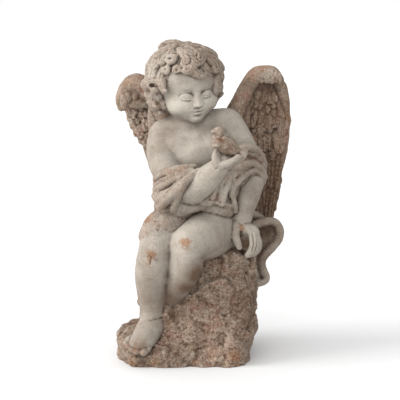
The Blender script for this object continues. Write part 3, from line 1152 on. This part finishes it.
# Soft patches: their size in millimetres, how many finer sizes lie in them and how strongly. Real
# sand grains are well under a millimetre. The speck, grit and grain are coarser, so that they show.
PATCHES = {"pale clay": (30, 8, 0.75), "pink clay": (26, 8, 0.7), "dark clay": (70, 4, 0.6),
           "speck": (2.8, 4, 0.8), "crust": (18, 8, 0.8), "crumb": (2, 3, 0.8), "thick wash": (32, 6, 0.7),
           "worn wash": (14, 8, 0.75), "bare": (6, 8, 0.8), "dirt": (20, 8, 0.75), "grit": (1.8, 3, 0.8),
           "pinned": (20, 3, 0.6), "grain": (3.5, 5, 0.7)}
place = add("ShaderNodeTexCoord").outputs["Object"]
cloud = {}
for name, (size, detail, rough) in PATCHES.items():
    links = {"Vector": place, "Scale": 1000 / size, "Detail": detail, "Roughness": rough}
    cloud[name] = add("ShaderNodeTexNoise", None, links).outputs["Fac"]
speck = (cloud["speck"], 0.36, 0.64)

# the bare clay: brown, in places pale, pinkish or dark, with a thin whitish crust here and there
clay_colour = coat(hexcolour("4b3b31"), hexcolour("7b6755"), 1, (cloud["pale clay"], 0.38, 0.62))
clay_colour = coat(clay_colour, hexcolour("87594a"), 0.8, (cloud["pink clay"], 0.48, 0.6))
clay_colour = coat(clay_colour, hexcolour("44352c"), 0.45, (cloud["dark clay"], 0.5, 0.36))
clay_colour = coat(clay_colour, hexcolour("a08c78"), 0.55, speck)
clay_colour = coat(clay_colour, hexcolour("c0ad98"), 0.9, (cloud["crust"], 0.5, 0.66),
                   (cloud["crumb"], 0.4, 0.6))
# the lime wash: greyish white, a little warmer where it is thin
lime_colour = coat(hexcolour("847a6f"), hexcolour("a49d93"), 1, (cloud["thick wash"], 0.32, 0.68))
lime_colour = coat(lime_colour, hexcolour("aea89d"), 0.3, speck)
lime_colour = coat(lime_colour, hexcolour("cbc5b9"), 0.6, (stored["kept"], 0, 1))
# it covers in patches, more where it was kept and less in the hollows
cover = heaped(stored["wash"], (0.35, stored["kept"], 0, 1), (0.8, cloud["worn wash"], 0.25, 0.75),
               (-0.6, stored["hollow"], 0, 1))
colour = coat(clay_colour, lime_colour, 1, (cover, 0.15, 0.95))
# bared orange clay
bare = heaped(stored["bared"], (0.9, cloud["bare"], 0.32, 0.68))
rust = coat(hexcolour("6f4b37"), hexcolour("99714f"), 1, speck)
colour = coat(colour, rust, 0.85, (bare, 0.75, 1.2))
# dirt, in general and in hollows of every size, thinner where the wash has stayed clean
dirt = heaped(stored["soiled"], (0.4, cloud["dirt"], 0.35, 0.65), (-0.5, stored["kept"], 0, 1))
clean = (stored["kept"], 1.6, 0)
colour = coat(colour, hexcolour("5a4535"), 0.95, (dirt, 0.1, 1.6))
colour = coat(colour, hexcolour("543f30"), 0.5, (stored["shut_in"], 0.35, 1), clean)
colour = coat(colour, hexcolour("45352a"), 0.68, (stored["dip"], 0.53, 0.85), clean)
colour = coat(colour, hexcolour("3d2f27"), 0.7, (stored["hollow"], 0.55, 0.9))
# the high spots of the clay are rubbed pale
colour = coat(colour, hexcolour("b6a592"), 0.28, (stored["hollow"], 0.47, 0.2), (stored["wash"], 1.1, 0.2))
# dark grit all over, strongest on the bare clay
colour = coat(colour, hexcolour("3a2c24"), 0.75, (cloud["grit"], 0.48, 0.62), (stored["wash"], 1.6, -0.2))
# pinholes from air in the clay, 1 to 2 mm across and a few millimetres apart
pins = add("ShaderNodeTexVoronoi", None, {"Vector": place, "Scale": 1000 / 6.5}).outputs["Distance"]
colour = coat(colour, hexcolour("33261e"), 0.7, (pins, 0.2, 0.1), (cloud["pinned"], 0.56, 0.7),
              (stored["wash"], 1.1, 0.6))
# a sandy grain, deepest on the bare clay
grain_height = thickness_of(cloud["grain"], [(stored["wash"], 1.25, 0.3)])
stand = add("ShaderNodeBump", None, {"Height": grain_height, "Strength": 0.8, "Distance": 0.0018})
shader = add("ShaderNodeBsdfPrincipled", None, {"Base Color": colour, "Normal": stand.outputs[0],
                                                "Roughness": 0.93, "IOR": 1.5, "Specular IOR Level": 0.25})
add("ShaderNodeOutputMaterial", None, {"Surface": shader.outputs[0]})
statue_mesh.materials.append(limed)

# ---------------------------------------------------------------- the studio
# A plain pale floor, soft light from the front left and a long lens, a little above the statue.
floor_mesh = bpy.data.meshes.new("floor")
shaper = bmesh.new()
bmesh.ops.create_grid(shaper, x_segments=1, y_segments=1, size=20)
shaper.to_mesh(floor_mesh)
shaper.free()
floor = put("floor", floor_mesh)
paper = bpy.data.materials.new("white_paper_floor")
paper.use_nodes = True
paper.node_tree.nodes["Principled BSDF"].inputs["Base Color"].default_value = hexcolour("d7d7d7")
paper.node_tree.nodes["Principled BSDF"].inputs["Roughness"].default_value = 0.9
floor_mesh.materials.append(paper)

sky = bpy.data.worlds.new("studio")
sky.use_nodes = True
tree = sky.node_tree
daylight = tree.nodes["Background"].inputs
daylight["Color"].default_value = hexcolour("ffffff")
# a dark screen stands to the right, so less light comes back from that side
SCREEN = (0.94, -0.34, 0)
way = add("ShaderNodeTexCoord").outputs["Generated"]
to_screen = add("ShaderNodeVectorMath", {"operation": "DOT_PRODUCT"}, {0: way, 1: SCREEN})
strength = add("ShaderNodeMapRange", None, {"Value": to_screen.outputs["Value"], "From Min": 0,
                                            "From Max": 0.9, "To Min": 1, "To Max": 0.72})
tree.links.new(strength.outputs[0], daylight["Strength"])
bpy.context.scene.world = sky

# a broad window to the left casts the shadow, and a still broader one in front softens it
for name, energy, angle, towards in (("side_window", 2.6, 32, (-0.86, -0.22, 0.44)),
                                     ("front_window", 2.25, 90, (-0.35, -0.85, 0.42))):
    window = bpy.data.lights.new(name, "SUN")
    window.energy = energy
    window.angle = math.radians(angle)
    window_body = put(name, window)
    window_body.rotation_mode = "QUATERNION"
    window_body.rotation_quaternion = Vector(towards).to_track_quat("Z", "Y")

distance = 2.6
tilt = math.radians(8)
aim = Vector((-0.0072, 0, 0.2881))
back = Vector((0, -math.cos(tilt), math.sin(tilt)))
camera = put("camera", bpy.data.cameras.new("camera"))
camera.data.lens = 128.0
camera.data.sensor_width = 36
camera.location = aim + back * distance
camera.rotation_mode = "QUATERNION"
camera.rotation_quaternion = back.to_track_quat("Z", "Y")
bpy.context.scene.camera = camera
bpy.context.scene.view_settings.view_transform = "Standard"
